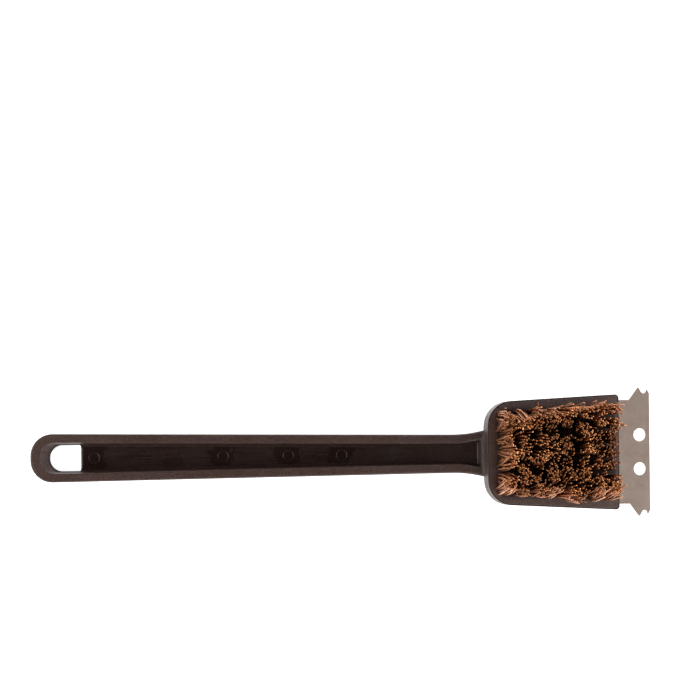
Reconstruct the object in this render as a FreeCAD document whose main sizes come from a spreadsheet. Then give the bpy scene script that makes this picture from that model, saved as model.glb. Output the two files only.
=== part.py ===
import FreeCAD, Part
import os
import re
import math
import Sketcher
from FreeCAD import Placement, Rotation, Vector

# Grill cleaning brush: a one-piece moulded handle and head, a stamped scraper blade moulded into the
# head's end, and wire tufts that are folded over small metal anchors in blind holes.
# The brush lies on its back with its bristles up: +X runs from the handle to the scraper, +Z is up,
# the origin is on the table under the middle of the whole length, and XZ is the plane of symmetry.

COLUMNS = 8      # tufts along the head
ROWS = 7         # tufts across the head
SPARE = 3.0      # how far a cutting solid stands proud of what it cuts

DRIVING_SIZES = {
    # overall
    "overall_length": 355.6,
    "head_tilt": 10.0,              # degrees, the scraper end is the lower one
    # head block, measured on its bristle face
    "head_length": 77.3,
    "head_width_neck": 57.6,
    "head_width_tip": 66.2,
    "head_thickness": 11.5,
    "head_corner_radius": 14.3,
    "head_tip_radius": 2.2,
    "head_back_radius": 2.0,
    "groove_inset": 0.4,            # fine groove all round the bristle face
    "groove_width": 0.4,
    "groove_depth": 0.6,
    # handle, in plan
    "handle_end_width": 28.1,
    "handle_neck_width": 21.75,
    "handle_end_radius": 12.6,
    "flare_start": 11.0,            # before the head's face edge
    "flare_angle": 14.0,            # degrees
    "flare_radius": 70.0,
    # handle, from the side
    "rim_height": 14.5,
    "neck_rise": 2.0,               # rim at the head above the rim of the grip
    "rim_bend": 30.0,               # before the face edge
    "rim_bend_radius": 800.0,
    "back_lift": 4.5,               # back of the neck above the table, under the face edge
    "back_bend": 62.0,
    "back_bend_radius": 700.0,
    "spine_length": 33.0,           # of the neck under the head
    "handle_back_radius": 5.0,
    "rim_radius": 1.2,
    # channel in the handle
    "rim_width": 4.9,
    "channel_draft": 7.0,           # degrees
    "channel_gap": 3.15,            # between the channel and the head's face edge
    "web_thickness": 3.0,
    "web_chamfer_length": 0.9,
    "web_chamfer_height": 0.6,
    "channel_flare_start": 13.5,    # before the face edge
    "channel_flare": 1.85,          # that the channel opens out by on each side
    "channel_flare_radius": 42.0,
    "channel_corner_radius": 1.2,
    "channel_floor_radius": 1.2,
    "mark_diameter": 6.0,           # round moulding marks on the channel's floor
    "mark_depth": 0.35,
    # hanging hole
    "hole_end_wall": 9.2,           # from the handle's end to the hole
    "hole_length": 18.2,
    "hole_width": 14.6,
    "hole_end_radius": 7.2,
    "hole_corner_radius": 1.3,      # at the channel's end of the hole
    "scoop_rim": 5.6,               # from the handle's end to the top of the bevel
    "scoop_depth": 6.0,
    "scoop_radius": 8.0,
    # scraper blade
    "blade_thickness": 0.9,
    "blade_height": 3.85,           # underside above the head's back
    "blade_reach": 20.75,           # beyond the head's face
    "blade_width": 59.8,
    "blade_tongue": 14.0,           # inside the head
    "ear_inner": 12.1,              # from the blade's outer edge, along the brush
    "ear_tip": 6.55,
    "ear_notch": 2.4,
    "ear_outer": 1.55,
    "ear_tip_width": 74.9,          # across the brush
    "ear_notch_width": 60.4,
    "ear_outer_width": 72.6,
    "edge_width": 67.4,
    "ear_root_radius": 0.8,
    "ear_tip_radius": 0.5,
    "ear_notch_radius": 1.7,
    "ear_outer_radius": 0.25,
    "edge_radius": 0.8,
    "blade_hole_diameter": 7.5,
    "blade_hole_spacing": 19.6,
    "blade_hole_inset": 5.95,
    "key_hole_diameter": 6.0,
    "key_hole_spacing": 19.0,
    "key_hole_inset": 7.0,          # from the tongue's inner edge
    # tufts
    "tuft_first_column": 8.1,       # from the face edge at the neck
    "tuft_column_pitch": 8.75,
    "tuft_row_pitch_neck": 6.85,
    "tuft_row_pitch_tip": 8.2,
    "tuft_hole_diameter": 4.5,
    "tuft_hole_cover": 1.35,        # plastic between a hole's bottom and the blade
    "tuft_clearance": 0.05,         # all round a tuft's root
    "tuft_free_length": 18.7,
    "tuft_tip_diameter": 6.5,
    "anchor_thickness": 0.4,
    "anchor_bite": 0.25,            # of each end of an anchor into its hole's wall
    "anchor_height": 2.0,
    "anchor_lift": 1.0,             # above the hole's bottom
}

# distances of the round moulding marks from the handle's end
MARKS = {"mark_first": 35.0, "mark_second": 109.3, "mark_third": 146.8, "mark_fourth": 177.6}

document = FreeCAD.newDocument("grill_cleaning_brush")
sheet = document.addObject("Spreadsheet::Sheet", "Sizes")
for line, (name, value) in enumerate({**DRIVING_SIZES, **MARKS}.items(), start=1):
    sheet.set(f"A{line}", name)
    sheet.set(f"B{line}", str(value))
    sheet.setAlias(f"B{line}", name)
document.recompute()

# places that several pieces share, as formulas of the driving sizes
HANDLE_END = "-overall_length / 2"
HALF_LENGTH = "overall_length / 2"
BLADE_TOP = "(head_thickness - blade_height - blade_thickness)"      # below the bristle face
BLADE_BACK = "(head_thickness - blade_height)"
FACE_X = (f"({HALF_LENGTH} - (head_length + blade_reach) * cos(head_tilt)"
          f" + {BLADE_TOP} * sin(head_tilt))")
FACE_Z = f"((head_length + blade_reach) * sin(head_tilt) + {BLADE_BACK} * cos(head_tilt))"
TUFT_HOLE_DEPTH = f"({BLADE_TOP} - tuft_hole_cover)"
ANCHOR_WIDTH = "(tuft_hole_diameter + 2 * anchor_bite)"
HANDLE_TOP = f"(rim_height + neck_rise + {SPARE})"
WEB_START = f"({HANDLE_END} + hole_end_wall + hole_length)"
FLARE_X = f"({FACE_X} - flare_start)"
BACK_SLOPE = "(back_lift / back_bend)"


def formula(text):
    # every size's name has an underscore, so it can be told from sin, cos and tan
    return re.sub(r"[a-z]+(?:_[a-z]+)+", lambda found: "Sizes." + found.group(), text)


def number(text):
    value = sheet.evalExpression(formula(text))
    return float(getattr(value, "Value", value))


def bind(piece, **formulas):
    for name, text in formulas.items():
        piece.setExpression(name.replace("__", "."), formula(str(text)))


def new_body(name):
    return document.addObject("PartDesign::Body", name)


def new_sketch(body, name, plane="XY_Plane", height=None):
    # a sketch on one of the body's own origin planes, or a stated height above it
    sketch = body.newObject("Sketcher::SketchObject", name)
    base = [feature for feature in body.Origin.OriginFeatures if feature.Role == plane][0]
    sketch.AttachmentSupport = [(base, "")]
    sketch.MapMode = "FlatFace"
    if height is not None:
        sketch.setExpression("AttachmentOffset.Base.z", formula(height))
    return sketch


def fix_point(sketch, geometry, end, across, up):
    for kind, text in (("DistanceX", across), ("DistanceY", up)):
        constraint = Sketcher.Constraint(kind, -1, 1, geometry, end, number(text))
        index = sketch.addConstraint(constraint)
        sketch.setExpression(f"Constraints[{index}]", formula(text))


def add_size(sketch, kind, geometry, text):
    index = sketch.addConstraint(Sketcher.Constraint(kind, geometry, number(text)))
    sketch.setExpression(f"Constraints[{index}]", formula(text))


def rounding(before, corner, after, radius):
    # start, end and centre of the arc that rounds a corner
    to_before = (before - corner).normalize()
    to_after = (after - corner).normalize()
    half_angle = to_before.getAngle(to_after) / 2
    reach = radius / math.tan(half_angle)
    centre = corner + (to_before + to_after).normalize() * (radius / math.sin(half_angle))
    return corner + to_before * reach, corner + to_after * reach, centre


def draw_outline(sketch, corners):
    # a closed outline from corners (x, y, radius or None), in order, each a formula
    points = [Vector(number(x), number(y), 0) for x, y, radius in corners]
    count = len(corners)
    arcs = []
    for i, (x, y, radius) in enumerate(corners):
        if radius is None:
            arcs.append((points[i], points[i], None))
        else:
            arcs.append(rounding(points[i - 1], points[i], points[(i + 1) % count], number(radius)))
    lines = [sketch.addGeometry(Part.LineSegment(arcs[i][1], arcs[(i + 1) % count][0]), False)
             for i in range(count)]
    for i, (x, y, radius) in enumerate(corners):
        before, after = lines[i - 1], lines[i]
        if radius is None:
            sketch.addConstraint(Sketcher.Constraint("Coincident", before, 2, after, 1))
            fix_point(sketch, after, 1, x, y)
            continue
        start, end, centre = arcs[i]
        turn = (points[i] - points[i - 1]).cross(points[(i + 1) % count] - points[i]).z
        first, last = (start, end) if turn > 0 else (end, start)
        angles = [math.atan2(p.y - centre.y, p.x - centre.x) for p in (first, last)]
        circle = Part.Circle(centre, Vector(0, 0, 1), number(radius))
        arc = sketch.addGeometry(Part.ArcOfCircle(circle, *angles), False)
        corner = sketch.addGeometry(Part.Point(points[i]), True)
        start_end, end_end = (1, 2) if turn > 0 else (2, 1)
        sketch.addConstraint(Sketcher.Constraint("Tangent", before, 2, arc, start_end))
        sketch.addConstraint(Sketcher.Constraint("Tangent", arc, end_end, after, 1))
        add_size(sketch, "Radius", arc, radius)
        fix_point(sketch, corner, 1, x, y)
        sketch.addConstraint(Sketcher.Constraint("PointOnObject", corner, 1, before))
        sketch.addConstraint(Sketcher.Constraint("PointOnObject", corner, 1, after))


def draw_circle(sketch, across, up, diameter):
    centre = Vector(number(across), number(up), 0)
    circle = Part.Circle(centre, Vector(0, 0, 1), number(diameter) / 2)
    geometry = sketch.addGeometry(circle, False)
    add_size(sketch, "Diameter", geometry, diameter)
    fix_point(sketch, geometry, 3, across, up)


def mirrored(half):
    # the whole outline from the corners on its +Y side, listed with falling X
    other = [(x, f"-({y})", radius) for x, y, radius in reversed(half)]
    return half + other


def add_pad(body, sketch, length, downward=False):
    pad = body.newObject("PartDesign::Pad", sketch.Name + "_pad")
    pad.Profile = sketch
    pad.Reversed = downward
    bind(pad, Length=length)
    document.recompute()
    return pad


def add_loft(body, name, sections):
    # straight walls from outline to outline, which all have the same corners
    loft = body.newObject("PartDesign::AdditiveLoft", name)
    loft.Profile = sections[0]
    loft.Sections = sections[1:]
    loft.Ruled = True
    document.recompute()
    return loft


def add_slice(body, sketch, width):
    # removes what a sketch on the XZ plane covers, over the whole width
    pocket = body.newObject("PartDesign::Pocket", sketch.Name + "_pocket")
    pocket.Profile = sketch
    pocket.Midplane = True
    bind(pocket, Length=width)
    document.recompute()
    return pocket


def add_fillet(body, radius, chosen):
    # rounds the edges of the body's tip for which chosen(edge) is true
    base = body.Tip
    names = [f"Edge{i}" for i, edge in enumerate(base.Shape.Edges, start=1) if chosen(edge)]
    fillet = body.newObject("PartDesign::Fillet", base.Name + "_round")
    fillet.Base = (base, names)
    bind(fillet, Radius=radius)
    document.recompute()
    return fillet


def put_on_head(piece, along="0", across="0", out="0"):
    # places a piece by its own origin: along the face from the neck, across it, and out of it
    x = f"{FACE_X} + ({along}) * cos(head_tilt) + ({out}) * sin(head_tilt)"
    z = f"{FACE_Z} - ({along}) * sin(head_tilt) + ({out}) * cos(head_tilt)"
    turn = "rotation(vector(0; 1; 0); head_tilt)"
    bind(piece, Placement=f"placement(vector({x}; {across}; {z}); {turn})")


def grip_half(x):
    # half the grip's straight taper at a place along the brush, at rim height
    share = f"(({x}) - {HANDLE_END}) / ({FLARE_X} - {HANDLE_END})"
    return f"(handle_end_width + (handle_neck_width - handle_end_width) * {share}) / 2"


def make_grip():
    body = new_body("grip")
    plan = new_sketch(body, "grip_plan")
    draw_outline(plan, mirrored([
        (f"{FACE_X} + spine_length", "handle_neck_width / 2", None),
        (FACE_X, "handle_neck_width / 2 + flare_start * tan(flare_angle)", None),
        (FLARE_X, "handle_neck_width / 2", "flare_radius"),
        (HANDLE_END, "handle_end_width / 2", "handle_end_radius"),
    ]))
    add_pad(body, plan, HANDLE_TOP)

    profile = new_sketch(body, "grip_profile", plane="XZ_Plane")
    low, high = "-10", f"{HANDLE_TOP} + 10"
    left, right = f"{HANDLE_END} - 10", f"{FACE_X} + spine_length + 10"
    rim_end = f"rim_height + neck_rise - (spine_length + 10) * tan(head_tilt)"
    draw_outline(profile, [
        (left, "rim_height", None),
        (f"{FACE_X} - rim_bend", "rim_height", "rim_bend_radius"),
        (FACE_X, "rim_height + neck_rise", None),
        (right, rim_end, None),
        (right, high, None),
        (left, high, None),
    ])
    draw_outline(profile, [
        (left, low, None),
        (right, low, None),
        (right, f"{BACK_SLOPE} * (back_bend + spine_length + 10)", None),
        (f"{FACE_X} - back_bend", "0", "back_bend_radius"),
        (left, "0", None),
    ])
    add_slice(body, profile, "4 * handle_end_width")

    end, face = number(HANDLE_END), number(FACE_X)
    slope, bend = number(BACK_SLOPE), face - number("back_bend")

    def on_back(edge):
        middle = edge.CenterOfMass
        outline = abs(middle.y) > 1 or middle.x < end + 3
        return outline and middle.z < max(0, slope * (middle.x - bend)) + 0.8

    def on_rim(edge):
        middle = edge.CenterOfMass
        outline = abs(middle.y) > 1 or middle.x < end + 3
        return outline and middle.x < face and middle.z > number("rim_height") - 0.05

    add_fillet(body, "handle_back_radius", on_back)
    add_fillet(body, "rim_radius", on_rim)
    return body


def make_head():
    body = new_body("head")

    def draw_face(sketch, inset):
        draw_outline(sketch, mirrored([
            (f"head_length - {inset}", f"head_width_tip / 2 - {inset}", f"head_tip_radius - {inset}"),
            (f"{inset}", f"head_width_neck / 2 - {inset}", f"head_corner_radius - {inset}"),
        ]))

    block = new_sketch(body, "head_block", height="-groove_depth")
    draw_face(block, "0")
    add_pad(body, block, "head_thickness - groove_depth", downward=True)
    back = -number("head_thickness")
    add_fillet(body, "head_back_radius", lambda edge: abs(edge.CenterOfMass.z - back) < 0.01)
    face = new_sketch(body, "head_face", height="0")
    for inset in ("0", "groove_inset", "(groove_inset + groove_width)"):
        draw_face(face, inset)
    add_pad(body, face, "groove_depth", downward=True)
    put_on_head(body)
    return body


def make_channel_cutter():
    body = new_body("channel_cutter")
    end_x = f"{FACE_X} - channel_gap"
    flare_x = f"{FACE_X} - channel_flare_start"
    start_x = f"{WEB_START} - {SPARE}"

    def section(name, height):
        sketch = new_sketch(body, name, height=height)
        spread = f"({height} - rim_height) * tan(channel_draft)"
        draw_outline(sketch, mirrored([
            (f"{end_x} + {spread}", f"{grip_half(flare_x)} - rim_width + channel_flare + {spread}",
             "channel_corner_radius"),
            (flare_x, f"{grip_half(flare_x)} - rim_width + {spread}", "channel_flare_radius"),
            (start_x, f"{grip_half(start_x)} - rim_width + {spread}", None),
        ]))
        return sketch

    add_loft(body, "channel_loft", [section("channel_top", HANDLE_TOP), section("channel_foot", "0")])

    floor = new_sketch(body, "channel_floor", plane="XZ_Plane")
    left, right = f"{WEB_START} - 10", f"{FACE_X} + 10"
    draw_outline(floor, [
        (left, "-10", None),
        (right, "-10", None),
        (right, f"web_thickness + {BACK_SLOPE} * (back_bend + 10)", None),
        (f"{FACE_X} - back_bend", "web_thickness", "back_bend_radius"),
        (left, "web_thickness", None),
    ])
    add_slice(body, floor, "4 * handle_end_width")

    web, slope = number("web_thickness"), number(BACK_SLOPE)
    face, start = number(FACE_X), number(WEB_START)
    bend = face - number("back_bend")

    def on_floor(edge):
        middle = edge.CenterOfMass
        outline = abs(middle.y) > 1 or middle.x > face - 12
        return outline and middle.z < web + max(0, slope * (middle.x - bend)) + 0.8 and middle.x > start - 1

    add_fillet(body, "channel_floor_radius", on_floor)
    return body


def make_hole_cutter():
    # a bevelled mouth that drops to a straight-sided hole
    body = new_body("hole_cutter")
    rim_half = f"{grip_half(WEB_START)} - rim_width"
    bevel = "(hole_end_wall - scoop_rim) / scoop_depth"

    def section(name, height, end_wall, half, radius):
        sketch = new_sketch(body, name, height=height)
        draw_outline(sketch, mirrored([
            (WEB_START, half, "hole_corner_radius"),
            (f"{HANDLE_END} + {end_wall}", half, radius),
        ]))
        return sketch

    top = section("hole_mouth", f"rim_height + {SPARE}", f"scoop_rim - {SPARE} * {bevel}",
                  f"{rim_half} + {SPARE} * tan(channel_draft)", "scoop_radius")
    middle = section("hole_ledge", "rim_height - scoop_depth", "hole_end_wall",
                     f"{rim_half} - scoop_depth * tan(channel_draft)", "hole_end_radius")
    bottom = section("hole_foot", f"-{SPARE}", "hole_end_wall", "hole_width / 2", "hole_end_radius")
    add_loft(body, "hole_loft", [top, middle, bottom])

    edge = new_sketch(body, "web_edge", plane="XZ_Plane")
    low = "web_thickness - web_chamfer_height"
    draw_outline(edge, [
        (f"{WEB_START} - 1", low, None),
        (WEB_START, low, None),
        (f"{WEB_START} + web_chamfer_length", "web_thickness", None),
        (f"{WEB_START} + web_chamfer_length", "web_thickness + 1", None),
        (f"{WEB_START} - 1", "web_thickness + 1", None),
    ])
    chamfer = add_pad(body, edge, "hole_width - 2 * hole_corner_radius")
    chamfer.Midplane = True
    document.recompute()
    return body


def make_blade():
    body = new_body("scraper_blade")
    outer = "(head_length + blade_reach)"
    plan = new_sketch(body, "blade_plan", height=f"-{BLADE_BACK}")
    draw_outline(plan, mirrored([
        (outer, "edge_width / 2", "edge_radius"),
        (f"{outer} - ear_outer", "ear_outer_width / 2", "ear_outer_radius"),
        (f"{outer} - ear_notch", "ear_notch_width / 2", "ear_notch_radius"),
        (f"{outer} - ear_tip", "ear_tip_width / 2", "ear_tip_radius"),
        (f"{outer} - ear_inner", "blade_width / 2", "ear_root_radius"),
        ("head_length - blade_tongue", "blade_width / 2", "head_tip_radius"),
    ]))
    for side in (-1, 1):
        draw_circle(plan, f"{outer} - blade_hole_inset", f"{side} * blade_hole_spacing / 2",
                    "blade_hole_diameter")
    for place in (-1, 0, 1):
        draw_circle(plan, "head_length - blade_tongue + key_hole_inset",
                    f"{place} * key_hole_spacing", "key_hole_diameter")
    add_pad(body, plan, "blade_thickness")
    put_on_head(body)
    return body


def tuft_places():
    # column, row, and the tuft's place along and across the face; the rows fan out to the tip
    places = []
    for column in range(COLUMNS):
        along = f"(tuft_first_column + {column} * tuft_column_pitch)"
        share = column / (COLUMNS - 1)
        pitch = f"(tuft_row_pitch_neck + (tuft_row_pitch_tip - tuft_row_pitch_neck) * {share})"
        for row in range(ROWS):
            places.append((column + 1, row + 1, along, f"{row - (ROWS - 1) / 2} * {pitch}"))
    return places


def make_tuft_hole_cutter():
    body = new_body("tuft_hole_cutter")
    plan = new_sketch(body, "tuft_hole_plan", height=f"{SPARE}")
    for column, row, along, across in tuft_places():
        draw_circle(plan, along, across, "tuft_hole_diameter")
    add_pad(body, plan, f"{TUFT_HOLE_DEPTH} + {SPARE}", downward=True)
    put_on_head(body)
    return body


def make_anchors():
    # one flat metal strip across each hole, its ends bitten into the plastic
    strips = []
    for column, row, along, across in tuft_places():
        strip = document.addObject("Part::Box", f"anchor_c{column}_r{row}")
        bind(strip, Length="anchor_thickness", Width=ANCHOR_WIDTH, Height="anchor_height")
        put_on_head(strip, f"{along} - anchor_thickness / 2", f"{across} - {ANCHOR_WIDTH} / 2",
                    f"anchor_lift - {TUFT_HOLE_DEPTH}")
        strips.append(strip)
    anchors = document.addObject("Part::Compound", "tuft_anchors")
    anchors.Links = strips
    return anchors


def make_tufts():
    # each tuft is a straight root in its hole and a cone above the face, folded over its anchor
    root = document.addObject("Part::Cylinder", "tuft_root")
    root_radius = "tuft_hole_diameter / 2 - tuft_clearance"
    bind(root, Radius=root_radius, Height=TUFT_HOLE_DEPTH, Placement__Base__z=f"-{TUFT_HOLE_DEPTH}")
    flare = document.addObject("Part::Cone", "tuft_flare")
    bind(flare, Radius1=root_radius, Radius2="tuft_tip_diameter / 2", Height="tuft_free_length")
    stock = document.addObject("Part::Fuse", "tuft_stock")
    stock.Base, stock.Tool = root, flare
    slot = document.addObject("Part::Box", "tuft_slot")
    bind(slot, Length="anchor_thickness", Width=ANCHOR_WIDTH, Height="anchor_height",
         Placement__Base__x="-anchor_thickness / 2", Placement__Base__y=f"-{ANCHOR_WIDTH} / 2",
         Placement__Base__z=f"anchor_lift - {TUFT_HOLE_DEPTH}")
    tufts = []
    for column, row, along, across in tuft_places():
        tuft = document.addObject("Part::Cut", f"tuft_c{column}_r{row}")
        tuft.Base, tuft.Tool = stock, slot
        put_on_head(tuft, along, across)
        tufts.append(tuft)
    return tufts


def make_marks():
    marks = []
    for name in MARKS:
        mark = document.addObject("Part::Cylinder", name + "_disc")
        bind(mark, Radius="mark_diameter / 2", Height=SPARE,
             Placement__Base__x=f"{HANDLE_END} + {name}",
             Placement__Base__z="web_thickness - mark_depth")
        marks.append(mark)
    return marks


def make_handle_body(blade, anchors):
    piece = document.addObject("Part::Fuse", "moulding")
    piece.Base, piece.Tool = make_grip(), make_head()
    cutters = [make_channel_cutter(), make_hole_cutter(), make_tuft_hole_cutter(), blade, anchors]
    for cutter in cutters + make_marks():
        cut = document.addObject("Part::Cut", "moulding_less_" + cutter.Name)
        cut.Base, cut.Tool = piece, cutter
        piece = cut
    piece.Refine = True
    return piece


blade = make_blade()
anchors = make_anchors()
tufts = make_tufts()
pieces = [make_handle_body(blade, anchors), blade, anchors] + tufts
names = ["handle_body", "scraper_blade", "tuft_anchors"] + [tuft.Name for tuft in tufts]
for piece, name in zip(pieces, names):
    piece.Label = name
document.recompute()

for thing in document.Objects:
    if "Invalid" in thing.State or "Error" in thing.State:
        raise RuntimeError(f"{thing.Name} failed: {thing.State}")
os.makedirs("parts", exist_ok=True)
for piece, name in zip(pieces, names):
    if piece.Shape.isNull() or not piece.Shape.isValid():
        raise RuntimeError(f"{name} is not a valid solid")
    piece.Shape.exportStep(f"parts/{name}.step")
    print(name, len(piece.Shape.Solids), "solid(s),", round(piece.Shape.Volume / 1000, 3), "cm3")
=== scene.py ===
import math
import random

import bmesh
import bpy
import numpy as np
from mathutils import Matrix, Vector


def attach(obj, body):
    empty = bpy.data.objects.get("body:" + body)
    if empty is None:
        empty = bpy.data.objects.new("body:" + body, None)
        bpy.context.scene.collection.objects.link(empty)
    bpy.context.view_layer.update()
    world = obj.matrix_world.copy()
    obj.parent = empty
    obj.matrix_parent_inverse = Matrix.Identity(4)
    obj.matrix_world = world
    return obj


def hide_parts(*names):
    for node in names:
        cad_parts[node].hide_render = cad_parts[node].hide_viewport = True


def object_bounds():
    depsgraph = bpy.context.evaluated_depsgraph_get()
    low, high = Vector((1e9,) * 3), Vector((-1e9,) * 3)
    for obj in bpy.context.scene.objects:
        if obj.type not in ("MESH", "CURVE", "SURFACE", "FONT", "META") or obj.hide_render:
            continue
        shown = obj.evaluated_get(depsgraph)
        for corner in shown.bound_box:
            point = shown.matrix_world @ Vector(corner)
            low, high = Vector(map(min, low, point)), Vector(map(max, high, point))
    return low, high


# Grill cleaning brush lying on its back, bristles up. The moulded body and the scraper keep their
# CAD shape, and every CAD tuft is replaced by a bundle of separate wires. Lengths are in metres.

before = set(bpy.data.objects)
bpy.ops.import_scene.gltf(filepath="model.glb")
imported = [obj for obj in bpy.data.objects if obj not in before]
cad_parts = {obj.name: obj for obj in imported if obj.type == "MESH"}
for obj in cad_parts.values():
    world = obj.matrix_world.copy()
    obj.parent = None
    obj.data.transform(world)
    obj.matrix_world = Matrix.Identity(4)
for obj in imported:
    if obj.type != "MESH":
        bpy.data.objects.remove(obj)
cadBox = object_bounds()
scene = bpy.context.scene
print("frame loaded:", len(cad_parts), "nodes")


def newMaterial(name):
    material = bpy.data.materials.new(name)
    material.use_nodes = True
    return material, material.node_tree.nodes["Principled BSDF"]


def addNode(material, kind, **settings):
    node = material.node_tree.nodes.new(kind)
    for key, value in settings.items():
        setattr(node, key, value)
    return node


def join(material, output, socket):
    material.node_tree.links.new(output, socket)


def noiseField(material, size, detail=3.0, stretch=(1, 1, 1), roughness=0.5):
    # noise with features about `size` across; `stretch` lengthens them along an axis
    place = addNode(material, "ShaderNodeTexCoord")
    mapping = addNode(material, "ShaderNodeMapping")
    mapping.inputs["Scale"].default_value = [1 / share for share in stretch]
    noise = addNode(material, "ShaderNodeTexNoise")
    noise.inputs["Scale"].default_value = 1 / size
    noise.inputs["Detail"].default_value = detail
    noise.inputs["Roughness"].default_value = roughness
    join(material, place.outputs["Object"], mapping.inputs["Vector"])
    join(material, mapping.outputs["Vector"], noise.inputs["Vector"])
    return noise.outputs["Fac"]


def rescale(material, value, fromLow, fromHigh, toLow, toHigh):
    node = addNode(material, "ShaderNodeMapRange")
    join(material, value, node.inputs["Value"])
    node.inputs["From Min"].default_value = fromLow
    node.inputs["From Max"].default_value = fromHigh
    node.inputs["To Min"].default_value = toLow
    node.inputs["To Max"].default_value = toHigh
    return node.outputs["Result"]


def spreadNoise(material, noise, low, high):
    # most of a noise lies between 0.3 and 0.7
    return rescale(material, noise, 0.3, 0.7, low, high)


def mixColours(material, share, first, second):
    # each of first and second is a colour or a colour output
    node = addNode(material, "ShaderNodeMix", data_type="RGBA")
    join(material, share, node.inputs["Factor"])
    for socket, colour in ((node.inputs[6], first), (node.inputs[7], second)):
        if isinstance(colour, tuple):
            socket.default_value = (*colour, 1)
        else:
            join(material, colour, socket)
    return node.outputs[2]


def calculate(material, operation, first, second=0.0):
    # each of first and second is a number or a number output
    node = addNode(material, "ShaderNodeMath", operation=operation)
    for socket, value in zip(node.inputs, (first, second)):
        if isinstance(value, (int, float)):
            socket.default_value = value
        else:
            join(material, value, socket)
    return node.outputs["Value"]


def between(material, value, low, high, soft):
    # one from low to high, fading to nothing over `soft` at both ends
    rise = rescale(material, value, low - soft, low + soft, 0, 1)
    fall = rescale(material, value, high - soft, high + soft, 1, 0)
    return calculate(material, "MULTIPLY", rise, fall)


def insideRegion(material, share, spot, region):
    # leaves `share` as it is in the region and brings it down to nothing outside
    for side in ("along", "across", "height"):
        if side in region:
            low, high = region[side]
            kept = between(material, spot[side], low, high, region["soft"])
            share = calculate(material, "MULTIPLY", share, kept)
    return share


def bump(material, height, depth, normal=None):
    node = addNode(material, "ShaderNodeBump")
    node.inputs["Distance"].default_value = depth
    join(material, height, node.inputs["Height"])
    if normal is not None:
        join(material, normal, node.inputs["Normal"])
    return node.outputs["Normal"]


# the moulded handle and head
plasticLook = {
    "dark": (0.0215, 0.0098, 0.0078),
    "light": (0.0400, 0.0198, 0.0158),
    "blotchSize": 0.030,
    "blotchStretch": (2.5, 1, 1),
    "wornAndLit": (0.120, 0.078, 0.066),          # specks, painted light on the face's margin, and rubbed edges
    "speckSize": 0.0007,
    "speckRange": (0.42, 0.68),             # of the noise, from no speck to a full one
    "speckShare": 0.5,
    "specular": 0.36,
    "roughness": (0.34, 0.48),
    "roughnessSize": 0.018,
    "grainSize": 0.0005,
    "grainDepth": 0.00006,
    "flowSize": 0.012,                      # slow waves that the melt leaves along the mould
    "flowStretch": (4, 1, 1),
    "flowDepth": 0.00012,

    # regions: along the brush from the handle's end, across it, and height above the table
    "channel": {
        "along": (0.026, 0.256),
        "across": (-0.0098, 0.0098),
        "height": (0, 0.0100),
        "soft": 0.0005,                     # over which a region fades out
    },
    "hole": {
        "along": (0.0085, 0.0285),
        "across": (-0.0098, 0.0098),
        "height": (0, 0.0095),
        "soft": 0.0004,
    },
    "neck": {
        "along": (0.250, 0.2625),
        "height": (0.0125, 0.0215),
        "soft": 0.0008,
    },
    "litMarginBand": {
        "along": (0.2600, 0.2655),
        "soft": 0.0012,
    },
    "litMarginFoot": (0.0225, 0.0235),           # heights from no painted light to all of it
    "tuftField": {
        "along": (0.2680, 0.3345),
        "across": (-0.0255, 0.0255),
        "soft": 0.0015,
    },
    "floorUp": (0.90, 0.985),               # upward share of the normal, on the channel's floor
    "faceUp": (0.94, 0.97),                 # and on the bristle face
    "wallUp": (0.25, 0.4),                  # and on a wall, where less is steeper

    # dark brown for grime, and for painted shade on the channel's floor, the hanging hole's walls and
    # between the tufts
    "grimeAndShade": (0.0125, 0.0050, 0.0038),
    "floorShadeAndGrime": 0.60,                     # painted shade and grime on the channel's floor
    "grimeContrast": 0.14,
    "grimeShine": 0.20,                     # that it takes off the roughness
    "streakSize": 0.0016,
    "streakStretch": (14, 1, 1),
    "streakRange": (0.35, 0.65),
    "fadeStart": 0.16,                      # from here the painted shade and grime thin out towards the neck
    "fadeShare": 0.55,
    "marks": (0.0350, 0.1093, 0.1468, 0.1776),      # moulding marks, along the brush
    "markReach": 0.0065,                    # of the thicker grime round a mark
    "markSoft": 0.0015,
    "markGrime": 0.85,
    "raggedSize": 0.006,                    # of the uneven rim of that grime
    "raggedReach": 0.004,
    "holeWallShade": 0.85,                      # painted shade on the hanging hole's walls
    "tuftGapShade": 0.95,                      # painted shade between the tufts
    "mattness": 0.55,                       # that the painted shade in the hole and between the tufts adds to the roughness
    "litMarginShare": 0.34,

    "edgeRadius": 0.0005,
    "neckRadius": 0.0032,                   # where the handle's rim runs softly up the head's wall
    "wearTurn": (0.985, 0.80),              # cosine of the turn at an edge, from no wear to full wear
    "wearShare": 0.55,
}


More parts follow.
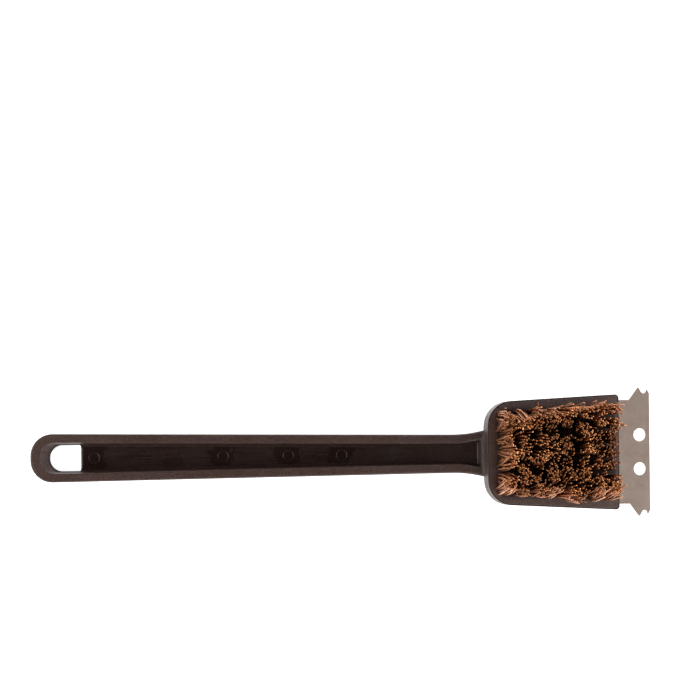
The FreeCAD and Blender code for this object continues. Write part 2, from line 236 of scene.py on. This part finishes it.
def makePlastic(look):
    material, shader = newMaterial("mouldedPlastic")

    blotches = noiseField(material, look["blotchSize"], detail=5, stretch=look["blotchStretch"])
    base = mixColours(material, spreadNoise(material, blotches, 0, 1), look["dark"], look["light"])
    specks = noiseField(material, look["speckSize"], detail=3, roughness=0.7)
    specks = rescale(material, specks, *look["speckRange"], 0, look["speckShare"])
    base = mixColours(material, specks, base, look["wornAndLit"])

    # where a point lies and how far it faces up
    place = addNode(material, "ShaderNodeTexCoord")
    axes = addNode(material, "ShaderNodeSeparateXYZ")
    join(material, place.outputs["Object"], axes.inputs[0])
    along = calculate(material, "SUBTRACT", axes.outputs["X"], cadBox[0][0])
    spot = {"along": along, "across": axes.outputs["Y"], "height": axes.outputs["Z"]}
    surface = addNode(material, "ShaderNodeNewGeometry")
    facing = addNode(material, "ShaderNodeSeparateXYZ")
    join(material, surface.outputs["Normal"], facing.inputs[0])
    up = facing.outputs["Z"]

    # painted shade and grime on the channel's floor: darker all over the recessed floor, in streaks, and
    # thicker grime round each moulding mark
    floor = rescale(material, up, *look["floorUp"], 0, 1)
    floor = insideRegion(material, floor, spot, look["channel"])
    streaks = noiseField(material, look["streakSize"], detail=4, stretch=look["streakStretch"])
    least = look["floorShadeAndGrime"] - look["grimeContrast"]
    most = look["floorShadeAndGrime"] + look["grimeContrast"]
    shadeAndStreaks = rescale(material, streaks, *look["streakRange"], least, most)
    fade = rescale(material, along, look["fadeStart"], look["channel"]["along"][1], 1, look["fadeShare"])
    shadeAndStreaks = calculate(material, "MULTIPLY", shadeAndStreaks, fade)
    ragged = noiseField(material, look["raggedSize"], detail=4)
    ragged = spreadNoise(material, ragged, -look["raggedReach"], look["raggedReach"])
    markEdge = look["markReach"] + look["markSoft"]
    thick = 0.0
    for mark in look["marks"]:
        away = calculate(material, "ABSOLUTE", calculate(material, "SUBTRACT", along, mark))
        away = calculate(material, "ADD", away, ragged)
        near = rescale(material, away, look["markReach"], markEdge, look["markGrime"], 0)
        thick = calculate(material, "MAXIMUM", thick, near)
    shadeAndGrease = calculate(material, "MULTIPLY", floor, calculate(material, "MAXIMUM", shadeAndStreaks, thick))
    base = mixColours(material, shadeAndGrease, base, look["grimeAndShade"])

    # painted shade on the hanging hole's walls, painted light on the face's margin beside the wires and
    # painted shade between the tufts
    shadedWall = rescale(material, calculate(material, "ABSOLUTE", up), *look["wallUp"], look["holeWallShade"], 0)
    shadedWall = insideRegion(material, shadedWall, spot, look["hole"])
    base = mixColours(material, shadedWall, base, look["grimeAndShade"])
    # painted light on the face's margin next to the neck, beside the wires
    marginLight = rescale(material, up, *look["faceUp"], 0, look["litMarginShare"])
    marginLight = insideRegion(material, marginLight, spot, look["litMarginBand"])
    raised = rescale(material, spot["height"], *look["litMarginFoot"], 0, 1)
    base = mixColours(material, calculate(material, "MULTIPLY", marginLight, raised), base, look["wornAndLit"])
    # painted shade on the face between the tufts
    gapShade = rescale(material, up, *look["faceUp"], 0, look["tuftGapShade"])
    gapShade = insideRegion(material, gapShade, spot, look["tuftField"])
    base = mixColours(material, gapShade, base, look["grimeAndShade"])

    # rounded edges, wide ones at the neck, and a little wear on all the others
    neck = insideRegion(material, 1.0, spot, look["neck"])
    edge = addNode(material, "ShaderNodeBevel", samples=8)
    radius = rescale(material, neck, 0, 1, look["edgeRadius"], look["neckRadius"])
    join(material, radius, edge.inputs["Radius"])
    likeness = addNode(material, "ShaderNodeVectorMath", operation="DOT_PRODUCT")
    join(material, edge.outputs["Normal"], likeness.inputs[0])
    join(material, surface.outputs["Normal"], likeness.inputs[1])
    wear = rescale(material, likeness.outputs["Value"], *look["wearTurn"], 0, look["wearShare"])
    apart = rescale(material, neck, 0, 0.2, 1, 0)       # no wear on the neck's wide roundings
    wear = calculate(material, "MULTIPLY", wear, apart)
    base = mixColours(material, wear, base, look["wornAndLit"])
    join(material, base, shader.inputs["Base Color"])

    flow = noiseField(material, look["flowSize"], detail=2, stretch=look["flowStretch"])
    normal = bump(material, flow, look["flowDepth"], edge.outputs["Normal"])
    grain = noiseField(material, look["grainSize"], detail=2)
    normal = bump(material, grain, look["grainDepth"], normal)
    join(material, normal, shader.inputs["Normal"])

    patches = noiseField(material, look["roughnessSize"], detail=4)
    rough = spreadNoise(material, patches, *look["roughness"])
    shine = calculate(material, "MULTIPLY", shadeAndGrease, look["grimeShine"])
    rough = calculate(material, "SUBTRACT", rough, shine)
    shadedMatt = calculate(material, "MAXIMUM", shadedWall, gapShade)
    rough = calculate(material, "ADD", rough, calculate(material, "MULTIPLY", shadedMatt, look["mattness"]))
    join(material, rough, shader.inputs["Roughness"])
    shader.inputs["Specular IOR Level"].default_value = look["specular"]
    return material


# the scraper and the anchors
steelLook = {
    "dark": (0.222, 0.172, 0.143),
    "light": (0.292, 0.232, 0.197),
    "roughness": (0.34, 0.50),
    "rollSize": 0.00035,                    # rolled across the blade
    "rollStretch": (1, 30, 1),
    "rollShare": 0.45,
    "grainDepth": 0.000012,
    "cloudSize": 0.006,
    "cloudShare": 0.55,
    "edgeRadius": 0.00018,
    "scratch": (0.62, 0.57, 0.52),
    "scratchSize": 0.0004,
    "scratches": (((60, 1, 1), 0.735), ((1, 45, 1), 0.74)),     # stretch, and noise where one starts
    "scratchFade": 0.06,
    "scratchShare": 0.6,
}


def makeSteel(look):
    material, shader = newMaterial("satinSteel")
    rolling = noiseField(material, look["rollSize"], detail=3, stretch=look["rollStretch"])
    clouds = noiseField(material, look["cloudSize"], detail=5)
    rolled = calculate(material, "MULTIPLY", rolling, look["rollShare"])
    clouded = spreadNoise(material, clouds, 0, look["cloudShare"])
    share = calculate(material, "ADD", rolled, clouded)
    base = mixColours(material, share, look["dark"], look["light"])

    # a few fine scratches, some along the brush and some across it
    for stretch, start in look["scratches"]:
        lines = noiseField(material, look["scratchSize"], detail=1, stretch=stretch)
        lines = rescale(material, lines, start, start + look["scratchFade"], 0, look["scratchShare"])
        base = mixColours(material, lines, base, look["scratch"])
    join(material, base, shader.inputs["Base Color"])

    shader.inputs["Metallic"].default_value = 1.0
    join(material, spreadNoise(material, rolling, *look["roughness"]), shader.inputs["Roughness"])
    edge = addNode(material, "ShaderNodeBevel", samples=4)
    edge.inputs["Radius"].default_value = look["edgeRadius"]
    normal = bump(material, rolling, look["grainDepth"], edge.outputs["Normal"])
    join(material, normal, shader.inputs["Normal"])
    return material


# a bristle's wire, which carries its tone, its painted shade towards the root and the share of its length
# as attributes
wireLook = {
    "shaftDark": (0.300, 0.100, 0.038),
    "shaftLight": (0.760, 0.350, 0.175),
    "cutEnd": (0.500, 0.205, 0.078),
    "cutFrom": 0.74,                        # share of the length where the cut end's colour comes in
    # dark brown for soot patches, and for painted shade towards the roots
    "soot": (0.050, 0.018, 0.008),
    "rootShadeDepth": (0.92, 0.40),              # share of the length, from no painted shade to full painted shade
    "patchSize": 0.0022,
    "patchRange": (0.55, 0.78),
    "patchShare": 0.5,
    "metal": 0.72,
    "roughness": 0.36,
    "drawnSize": 0.00025,                   # marks that drawing the wire leaves
    "drawnStretch": (1, 1, 8),
    "drawnDepth": 0.00003,
}


def makeWire(look):
    material, shader = newMaterial("bristleWire")
    tone, share, soot = (addNode(material, "ShaderNodeAttribute", attribute_name=name).outputs["Fac"]
                         for name in ("wireTone", "wireShare", "wireSoot"))
    shaft = mixColours(material, tone, look["shaftDark"], look["shaftLight"])
    patches = noiseField(material, look["patchSize"], detail=4)
    patches = rescale(material, patches, *look["patchRange"], 0, look["patchShare"])
    shaft = mixColours(material, patches, shaft, look["soot"])
    # painted shade darkening each wire towards its root
    depth = rescale(material, share, *look["rootShadeDepth"], 0, 1)
    shaft = mixColours(material, calculate(material, "MULTIPLY", depth, soot), shaft, look["soot"])
    tip = rescale(material, share, look["cutFrom"], 1.0, 0, 1)
    colour = mixColours(material, tip, shaft, look["cutEnd"])
    join(material, colour, shader.inputs["Base Color"])
    shader.inputs["Metallic"].default_value = look["metal"]
    shader.inputs["Roughness"].default_value = look["roughness"]
    drawn = noiseField(material, look["drawnSize"], detail=2, stretch=look["drawnStretch"])
    join(material, bump(material, drawn, look["drawnDepth"]), shader.inputs["Normal"])
    return material


materials = {
    "plastic": makePlastic(plasticLook),
    "steel": makeSteel(steelLook),
    "wire": makeWire(wireLook),
}
print("materials made")


tuftLook = {
    "seed": 14,
    "wires": 26,
    "wiresSpread": 2,           # more or fewer of them in a tuft
    "wireRadius": 0.00036,
    "sides": 6,
    "rings": 9,
    "insideHole": 0.003,        # how deep in its hole a wire starts
    "rootShare": 0.84,          # of the hole that the bundle fills
    "rootJitter": (0.80, 1.10), # on how far out a root lies
    "goldenAngle": 2.39996,     # between one root and the next
    "turnJitter": 0.5,          # radians
    "tipShare": 1.13,           # of the CAD tuft's tip radius
    "tipSpread": (0.85, 1.15),
    "openPower": 0.8,           # below 1, a tuft opens early
    "bulge": 0.0005,            # that the bundle swells by just above its hole
    "edgeBulge": 0.0012,        # the same in the tufts round the outside
    "bulgeSpread": (0.5, 1.6),
    "bulgePower": 0.62,         # below 1, the swelling is nearer the root
    "lengthSpread": 0.0011,
    "wander": 0.0008,
    "wanderSize": 0.75,
    "wanderScale": 3.0,
    "wirePhase": 500.0,         # how far apart two wires may read the noise
    "tuftPhase": 0.37,          # and two tufts, for each step of their seeds
    "fray": 0.09,               # sideways lean of one wire, as a share of its length
    "strayShare": 0.12,
    "strayLean": 0.13,
    "bundleLean": 0.14,
    "edgeLean": 0.09,           # that the tufts round the outside lean in by
    "soot": 0.85,               # painted shade, in the soot colour, towards the root of the inner tufts
    "edgeRootShade": 0.20,           # and of those round the outside
}

tuftInputs = {
    "Wires": "Int",
    "Wire Radius": "Float",
    "Sides": "Int",
    "Rings": "Int",
    "Root Radius": "Float",
    "Bulge": "Float",
    "Tip Radius": "Float",
    "Inside Hole": "Float",
    "Free Length": "Float",
    "Length Spread": "Float",
    "Wander": "Float",
    "Wander Size": "Float",
    "Fray": "Float",
    "Stray Share": "Float",
    "Stray Lean": "Float",
    "Lean": "Vector",
    "Soot": "Float",
    "Seed": "Int",
    "Material": "Material",
}


class TreeBuilder:
    # a geometry node tree with named inputs, and short ways to add its nodes

    def __init__(self, name, inputs):
        self.tree = bpy.data.node_groups.new(name, "GeometryNodeTree")
        self.sockets = {}
        for label, kind in inputs.items():
            socket = self.tree.interface.new_socket(
                name=label, in_out="INPUT", socket_type="NodeSocket" + kind)
            self.sockets[label] = socket.identifier
        self.tree.interface.new_socket(name="Mesh", in_out="OUTPUT", socket_type="NodeSocketGeometry")
        self.inputs = self.tree.nodes.new("NodeGroupInput").outputs

    def add(self, kind, links=None, **settings):
        # links: socket name or number -> an output or a plain value
        node = self.tree.nodes.new(kind)
        for key, value in settings.items():
            setattr(node, key, value)
        for key, value in (links or {}).items():
            if isinstance(value, bpy.types.NodeSocket):
                self.tree.links.new(value, node.inputs[key])
            else:
                node.inputs[key].default_value = value
        return node

    def calculate(self, operation, first, second=0.0):
        return self.add("ShaderNodeMath", {0: first, 1: second}, operation=operation).outputs[0]

    def vector(self, operation, first, second):
        return self.add("ShaderNodeVectorMath", {0: first, 1: second}, operation=operation).outputs[0]

    def scaled(self, vector, factor):
        return self.add("ShaderNodeVectorMath", {0: vector, "Scale": factor}, operation="SCALE").outputs[0]

    def combined(self, **parts):
        return self.add("ShaderNodeCombineXYZ", parts).outputs[0]

    def random(self, low, high, seedOffset):
        links = {
            2: low,
            3: high,
            "ID": self.add("GeometryNodeInputIndex").outputs[0],
            "Seed": self.calculate("ADD", self.inputs["Seed"], seedOffset),
        }
        return self.add("FunctionNodeRandomValue", links, data_type="FLOAT").outputs[1]

    def store(self, geometry, name, value, kind="FLOAT"):
        links = {"Geometry": geometry, "Name": name, "Value": value}
        return self.add("GeometryNodeStoreNamedAttribute", links, data_type=kind, domain="POINT").outputs[0]

    def read(self, name, kind="FLOAT"):
        return self.add("GeometryNodeInputNamedAttribute", {"Name": name}, data_type=kind).outputs[0]


def buildTuftTree(look):
    # local frame: the hole's mouth at the origin, +Z out of the face
    builder = TreeBuilder("wireTuft", tuftInputs)
    add, calc, given = builder.add, builder.calculate, builder.inputs

    # roots lie in the hole like seeds in a sunflower, each a little out of place
    index = add("GeometryNodeInputIndex").outputs[0]
    place = calc("DIVIDE", calc("ADD", index, 0.5), given["Wires"])
    radius = calc("SQRT", calc("MULTIPLY", place, builder.random(*look["rootJitter"], 1)))
    turn = calc("MULTIPLY", index, look["goldenAngle"])
    turn = calc("ADD", turn, builder.random(-look["turnJitter"], look["turnJitter"], 2))
    spot = builder.combined(X=calc("MULTIPLY", radius, calc("COSINE", turn)),
                            Y=calc("MULTIPLY", radius, calc("SINE", turn)))
    points = add("GeometryNodePoints", {"Count": given["Wires"], "Position": (0, 0, 0)}).outputs[0]
    points = builder.store(points, "spot", spot, "FLOAT_VECTOR")
    points = builder.store(points, "wireTone", builder.random(0.0, 1.0, 3))
    # how much painted shade the wire takes towards its root
    points = builder.store(points, "wireSoot", given["Soot"])

    # each wire leans its own way, and a few strays lean far
    stray = calc("LESS_THAN", builder.random(0.0, 1.0, 4), given["Stray Share"])
    reach = calc("ADD", given["Fray"], calc("MULTIPLY", stray, given["Stray Lean"]))
    lean = builder.combined(X=builder.random(-1.0, 1.0, 5), Y=builder.random(-1.0, 1.0, 6))
    lean = builder.vector("ADD", builder.scaled(lean, reach), given["Lean"])
    points = builder.store(points, "lean", lean, "FLOAT_VECTOR")
    extra = calc("MULTIPLY", builder.random(-1.0, 1.0, 7), given["Length Spread"])
    points = builder.store(points, "length", calc("ADD", given["Free Length"], extra))
    points = builder.store(points, "phase", builder.random(0.0, look["wirePhase"], 8))

    # one line for each wire
    line = add("GeometryNodeCurvePrimitiveLine", {"Start": (0, 0, 0), "End": (0, 0, 1)}).outputs[0]
    line = add("GeometryNodeResampleCurve", {"Curve": line, "Count": given["Rings"]}).outputs[0]
    wires = add("GeometryNodeInstanceOnPoints", {"Points": points, "Instance": line}).outputs[0]
    wires = add("GeometryNodeRealizeInstances", {"Geometry": wires}).outputs[0]
    share = add("GeometryNodeSplineParameter").outputs["Factor"]
    wires = builder.store(wires, "wireShare", share)

    # how wide the bundle is at each share of its length
    share = builder.read("wireShare")
    opened = calc("POWER", share, look["openPower"])
    opening = calc("SUBTRACT", given["Tip Radius"], given["Root Radius"])
    spread = calc("ADD", given["Root Radius"], calc("MULTIPLY", opened, opening))
    swell = calc("SINE", calc("MULTIPLY", calc("POWER", share, look["bulgePower"]), math.pi))
    spread = calc("ADD", spread, calc("MULTIPLY", swell, given["Bulge"]))

    # where a wire is there: its place in the bundle, its lean and its own crooked way
    reach = calc("ADD", builder.read("length"), given["Inside Hole"])
    height = calc("SUBTRACT", calc("MULTIPLY", share, reach), given["Inside Hole"])
    leaning = calc("MULTIPLY", calc("MAXIMUM", height, 0.0), opened)
    sideways = builder.scaled(builder.read("lean", "FLOAT_VECTOR"), leaning)
    lookup = builder.combined(X=builder.read("phase"),
                              Y=calc("MULTIPLY", given["Seed"], look["tuftPhase"]),
                              Z=calc("DIVIDE", share, given["Wander Size"]))
    noiseLinks = {"Vector": lookup, "Scale": look["wanderScale"], "Detail": 1.0}
    noise = add("ShaderNodeTexNoise", noiseLinks).outputs["Color"]
    wander = builder.vector("SUBTRACT", noise, (0.5, 0.5, 0.5))      # from -0.5 to 0.5, doubled below
    wander = builder.scaled(wander, calc("MULTIPLY", given["Wander"], share))
    position = builder.scaled(builder.read("spot", "FLOAT_VECTOR"), spread)
    position = builder.vector("ADD", position, sideways)
    position = builder.vector("ADD", position, builder.vector("MULTIPLY", wander, (2, 2, 0)))
    position = builder.vector("ADD", position, builder.combined(Z=height))
    wires = add("GeometryNodeSetPosition", {"Geometry": wires, "Position": position}).outputs[0]

    # a closed tube round each line
    profile = add("GeometryNodeCurvePrimitiveCircle", {"Resolution": given["Sides"]}, mode="RADIUS")
    builder.tree.links.new(given["Wire Radius"], profile.inputs["Radius"])
    tubeLinks = {"Curve": wires, "Profile Curve": profile.outputs[0], "Fill Caps": True}
    tube = add("GeometryNodeCurveToMesh", tubeLinks).outputs[0]
    for name in ("spot", "lean", "length", "phase"):
        tube = add("GeometryNodeRemoveAttribute", {"Geometry": tube, "Name": name}).outputs[0]
    tube = add("GeometryNodeSetShadeSmooth", {"Geometry": tube}).outputs[0]
    whole = add("GeometryNodeRealizeInstances", {"Geometry": tube}).outputs[0]
    done = add("GeometryNodeSetMaterial", {"Geometry": whole, "Material": given["Material"]}).outputs[0]
    builder.tree.links.new(done, builder.tree.nodes.new("NodeGroupOutput").inputs[0])
    return builder


def tuftFrame(node):
    # the middle of the hole's mouth, the tuft's own axis, its two radii and its free length
    sameLevel, sameRadius = 1e-4, 1.01
    axis = np.array(max(node.data.polygons, key=lambda polygon: polygon.center.z).normal)
    points = np.array([vertex.co for vertex in node.data.vertices])
    heights = points @ axis
    rings = []
    for level in np.unique(np.round(heights, 4)):
        near = points[np.abs(heights - level) < sameLevel]
        middle = (near.max(0) + near.min(0)) / 2
        rings.append((middle, np.linalg.norm(near - middle, axis=1).max()))
    rootRadius = rings[0][1]
    mouth = [middle for middle, radius in rings if radius < rootRadius * sameRadius][-1]
    tip, tipRadius = rings[-1]
    return mouth, axis, rootRadius, tipRadius, np.linalg.norm(tip - mouth)


def makeTuft(builder, node, look, draw):
    mouth, axis, rootRadius, tipRadius, freeLength = tuftFrame(node)
    column, row = (int(part[1:]) for part in node.name.split("_")[1:])
    onSide = row in (1, tuftRows)
    onEdge = column == 1 or onSide
    lean = [draw.uniform(-look["bundleLean"], look["bundleLean"]) for side in "xy"]
    if column == 1:
        lean[0] += look["edgeLean"]
    if onSide:
        lean[1] -= math.copysign(look["edgeLean"], mouth[1])
    values = {
        "Wires": look["wires"] + draw.randint(-look["wiresSpread"], look["wiresSpread"]),
        "Wire Radius": look["wireRadius"],
        "Sides": look["sides"],
        "Rings": look["rings"],
        "Root Radius": rootRadius * look["rootShare"],
        "Bulge": look["edgeBulge" if onEdge else "bulge"] * draw.uniform(*look["bulgeSpread"]),
        "Tip Radius": tipRadius * look["tipShare"] * draw.uniform(*look["tipSpread"]),
        "Inside Hole": look["insideHole"],
        "Free Length": freeLength,
        "Length Spread": look["lengthSpread"],
        "Wander": look["wander"],
        "Wander Size": look["wanderSize"],
        "Fray": look["fray"],
        "Stray Share": look["strayShare"],
        "Stray Lean": look["strayLean"],
        "Lean": (*lean, 0),
        # painted shade towards the roots, less in the tufts round the outside
        "Soot": look["edgeRootShade" if onEdge else "soot"],
        "Seed": draw.randint(1, 9999),
        "Material": materials["wire"],
    }

    # the tree runs on an empty worker object, and its result is kept as a plain mesh
    worker = bpy.data.objects.new("worker", bpy.data.meshes.new("stub"))
    scene.collection.objects.link(worker)
    modifier = worker.modifiers.new("wires", "NODES")
    modifier.node_group = builder.tree
    for label, value in values.items():
        modifier[builder.sockets[label]] = value
    graph = bpy.context.evaluated_depsgraph_get()
    made = bpy.data.meshes.new_from_object(worker.evaluated_get(graph), depsgraph=graph)
    bpy.data.objects.remove(worker)

    # from the tuft's own frame to its place on the head
    out = Vector(axis)
    forward = Vector((axis[2], 0, -axis[0])).normalized()
    turn = Matrix((forward, out.cross(forward), out)).transposed().to_4x4()
    made.transform(Matrix.Translation(Vector(mouth)) @ turn)
    name = node.name.replace("tuft", "wires")
    made.name = name
    piece = bpy.data.objects.new(name, made)
    scene.collection.objects.link(piece)
    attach(piece, "root")
    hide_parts(node.name)


tuftTree = buildTuftTree(tuftLook)
draw = random.Random(tuftLook["seed"])
tuftNodes = sorted(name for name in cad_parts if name.startswith("tuft_c"))
tuftRows = max(int(name.split("_r")[1]) for name in tuftNodes)
for name in tuftNodes:
    makeTuft(tuftTree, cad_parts[name], tuftLook, draw)
print("wire tufts made:", len(tuftNodes))


finishes = {
    "handle_body": "plastic",
    "scraper_blade": "steel",
    "tuft_anchors": "steel",
}
for name, finish in finishes.items():
    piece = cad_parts[name]
    piece.data.materials.clear()
    piece.data.materials.append(materials[finish])
print("finishes set")


studio = {
    "stageRadius": 3.0,
    "stageWall": 1.15,
    "stageSweep": 0.30,         # radius between floor and wall
    "sweepSteps": 8,
    "stageSides": 96,
    "floorColour": (0.90, 0.90, 0.90),
    "floorRoughness": 0.9,
    "floorGlow": 0.85,          # a lit table, which leaves next to no shadow
    "worldColour": (1.0, 1.0, 1.0),
    "worldStrength": 0.03,
    # soft boxes stand round the brush and leave the view from above dark: place, width, height, watts
    "boxes": {
        "left": ((-1.25, -0.25, 1.05), 1.2, 0.7, 15.5),
        "front": ((0.50, -1.05, 0.55), 1.1, 0.5, 12.5),
        "right": ((1.20, 0.10, 0.55), 1.1, 0.5, 9.0),
        "back": ((0.50, 1.05, 0.55), 1.1, 0.5, 6.5),
        "high": ((0.95, -0.30, 1.50), 1.1, 1.1, 4.8),     # mirrored by the tilted face, not by the handle
    },
}


def makeFloor(setup):
    # a round stage whose floor sweeps up into a low wall, so that no edge shows from the side
    radius, sweep, steps = setup["stageRadius"], setup["stageSweep"], setup["sweepSteps"]
    outline = [(0.0, 0.0)]
    for step in range(steps + 1):
        angle = math.radians(step * 90 / steps)
        outline.append((radius - sweep + sweep * math.sin(angle), sweep - sweep * math.cos(angle)))
    outline.append((radius, setup["stageWall"]))
    shape = bmesh.new()
    points = [shape.verts.new((across, 0, height)) for across, height in outline]
    edges = [shape.edges.new(pair) for pair in zip(points, points[1:])]
    bmesh.ops.spin(shape, geom=points + edges, cent=(0, 0, 0), axis=(0, 0, 1),
                   angle=math.tau, steps=setup["stageSides"], use_duplicate=False)
    bmesh.ops.remove_doubles(shape, verts=shape.verts, dist=1e-5)
    bmesh.ops.recalc_face_normals(shape, faces=shape.faces)
    if shape.faces[0].normal.z < 0:
        bmesh.ops.reverse_faces(shape, faces=shape.faces)
    mesh = bpy.data.meshes.new("floor")
    shape.to_mesh(mesh)
    shape.free()
    material, shader = newMaterial("paleFloor")
    shader.inputs["Base Color"].default_value = (*setup["floorColour"], 1)
    shader.inputs["Roughness"].default_value = setup["floorRoughness"]
    shader.inputs["Emission Color"].default_value = (1, 1, 1, 1)
    shader.inputs["Emission Strength"].default_value = setup["floorGlow"]
    mesh.materials.append(material)
    floor = bpy.data.objects.new("floor", mesh)
    scene.collection.objects.link(floor)


def makeSoftBox(name, place, width, height, power):
    data = bpy.data.lights.new(name, "AREA")
    data.shape = "RECTANGLE"
    data.size = width
    data.size_y = height
    data.energy = power
    light = bpy.data.objects.new(name, data)
    light.location = place
    light.rotation_mode = "QUATERNION"
    light.rotation_quaternion = (-Vector(place)).to_track_quat("-Z", "Y")
    scene.collection.objects.link(light)


def makeWorld(setup):
    world = bpy.data.worlds.new("studio")
    world.use_nodes = True
    background = world.node_tree.nodes["Background"]
    background.inputs["Color"].default_value = (*setup["worldColour"], 1)
    background.inputs["Strength"].default_value = setup["worldStrength"]
    scene.world = world


makeFloor(studio)
makeWorld(studio)
for name, box in studio["boxes"].items():
    makeSoftBox(name, *box)
print("stage and lights made")


cameraSetup = {
    "distance": 0.9988,         # above the middle of the brush
    "middleHeight": 0.013,
    "lens": 90.0,
    "sensor": 36.0,
    "nearest": 0.01,
    "roll": 0.65,               # degrees, the scraper's end is the higher one in the frame
    "shiftX": 0.0115,
    "shiftY": 0.1501,
}


def makeCamera(setup):
    data = bpy.data.cameras.new("camera")
    data.lens = setup["lens"]
    data.sensor_width = setup["sensor"]
    data.shift_x = setup["shiftX"]
    data.shift_y = setup["shiftY"]
    data.clip_start = setup["nearest"]
    camera = bpy.data.objects.new("camera", data)
    camera.location = (0, 0, setup["middleHeight"] + setup["distance"])
    camera.rotation_euler = (0, 0, math.radians(-setup["roll"]))
    scene.collection.objects.link(camera)
    scene.camera = camera


makeCamera(cameraSetup)
scene.view_settings.view_transform = "Standard"
print("camera made")
